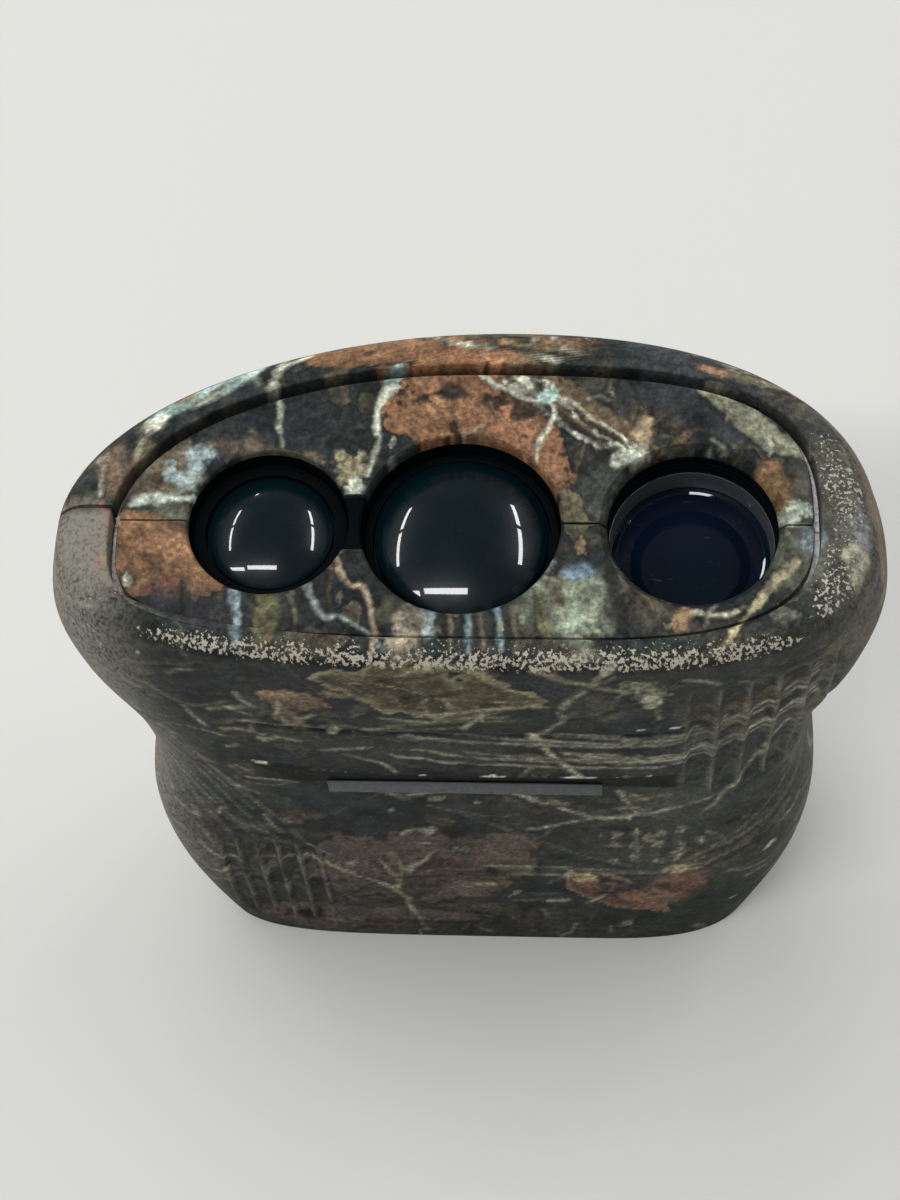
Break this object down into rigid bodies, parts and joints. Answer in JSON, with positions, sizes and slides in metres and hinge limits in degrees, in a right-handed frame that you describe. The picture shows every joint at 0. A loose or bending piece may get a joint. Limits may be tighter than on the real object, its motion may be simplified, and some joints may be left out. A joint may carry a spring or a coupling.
{
  "type": "laser rangefinder",
  "caption": "Wide camouflaged laser rangefinder standing on its rear end, with domed send and receive lenses and a clear viewfinder lens on top.",
  "frame": {"origin": "middle of the footprint, on the surface that the rear rim stands on", "axes": "+Z is the way the instrument looks, +X the viewfinder side, +Y the arched side with the buttons, -Y the flat side"},
  "size_m": [0.117, 0.0534, 0.1085],
  "materials": {
    "camo_rubber": "matt rubber with a printed camouflage pattern",
    "camo_plastic": "satin plastic with a printed camouflage pattern",
    "black_plastic": "satin moulded",
    "dark_rubber": "matt",
    "filter_glass": "polished, nearly opaque filter",
    "coated_glass": "polished, violet coating",
    "steel": "plain",
    "grey_metal": "grey anodised",
    "circuit_board": "solder mask",
    "battery_skin": "satin",
    "label_plate": "grey anodised, blank"
  },
  "bodies": {
    "root": {"armour_sleeve": "camo_rubber", "battery": "battery_skin", "battery_contacts": "black_plastic", "battery_tray": "black_plastic", "button_board": "circuit_board", "charge_capacitor": "battery_skin", "detector_board": "circuit_board", "display_panel": "grey_metal", "eye_lens": "coated_glass", "eyecup": "dark_rubber", "eyepiece_tube": "black_plastic", "field_lens": "coated_glass", "fire_switch": "black_plastic", "frame_screw_1": "steel", "frame_screw_2": "steel", "frame_screw_3": "steel", "frame_screw_4": "steel", "laser_board": "circuit_board", "laser_diode": "grey_metal", "lens_bezel": "black_plastic", "lower_case": "camo_plastic", "main_board": "circuit_board", "mode_switch": "black_plastic", "nameplate": "label_plate", "objective_barrel": "black_plastic", "objective_lens": "coated_glass", "objective_retainer": "grey_metal", "optics_frame": "grey_metal", "prism": "coated_glass", "prism_housing": "black_plastic", "processor": "black_plastic", "rear_cover": "black_plastic", "rear_cover_screw_1": "steel", "rear_cover_screw_2": "steel", "rear_cover_screw_3": "steel", "rear_cover_screw_4": "steel", "receiver_detector": "grey_metal", "receiver_lens": "filter_glass", "receiver_retainer": "black_plastic", "receiver_tube": "black_plastic", "strap_lug": "steel", "transmitter_lens": "filter_glass", "transmitter_retainer": "black_plastic", "transmitter_tube": "black_plastic", "upper_case": "camo_plastic"},
    "fire_button": {"fire_button": "dark_rubber"},
    "mode_button": {"mode_button": "dark_rubber"},
    "dioptre_ring": {"dioptre_ring": "black_plastic"},
    "battery_door": {"battery_door": "black_plastic"}
  },
  "joints": [
    {"name": "fire_press", "type": "slide", "parent": "root", "child": "fire_button", "axis": [0, -1, 0], "range_m": [0, 0.001], "stiffness_N_per_m": 800, "springref_m": -0.0005},
    {"name": "mode_press", "type": "slide", "parent": "root", "child": "mode_button", "axis": [0, -1, 0], "range_m": [0, 0.001], "stiffness_N_per_m": 800, "springref_m": -0.0005},
    {"name": "dioptre_turn", "type": "hinge", "parent": "root", "child": "dioptre_ring", "pos_m": [0.0272, -0.0045, 0.004], "axis": [0, 0, 1], "range_deg": [-60, 60]},
    {"name": "door_slide", "type": "slide", "parent": "root", "child": "battery_door", "axis": [0, 1, 0], "range_m": [0, 0.022]}
  ]
}
